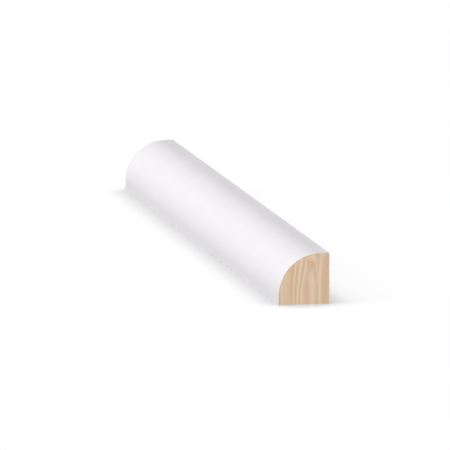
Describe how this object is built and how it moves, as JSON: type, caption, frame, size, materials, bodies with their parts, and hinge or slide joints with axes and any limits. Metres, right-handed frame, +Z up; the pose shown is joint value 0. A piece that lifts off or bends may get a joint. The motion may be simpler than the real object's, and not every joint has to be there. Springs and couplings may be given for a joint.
{
  "type": "quarter round moulding",
  "caption": "Straight strip of quarter round trim with a flat underside, a flat back and a round between two narrow lands, primed white, that covers the joint between a floor and a wall.",
  "frame": {"origin": "middle of the flat underside", "axes": "+Z up from the underside, +X out of the flat back, +Y along the strip; the round faces -X and +Z"},
  "size_m": [0.019, 0.3048, 0.0191],
  "materials": {
    "primed_pine": "flat white primer on the long faces, bare pale pine on the sawn ends"
  },
  "bodies": {
    "root": {"quarter_round": "primed_pine"}
  },
  "joints": []
}
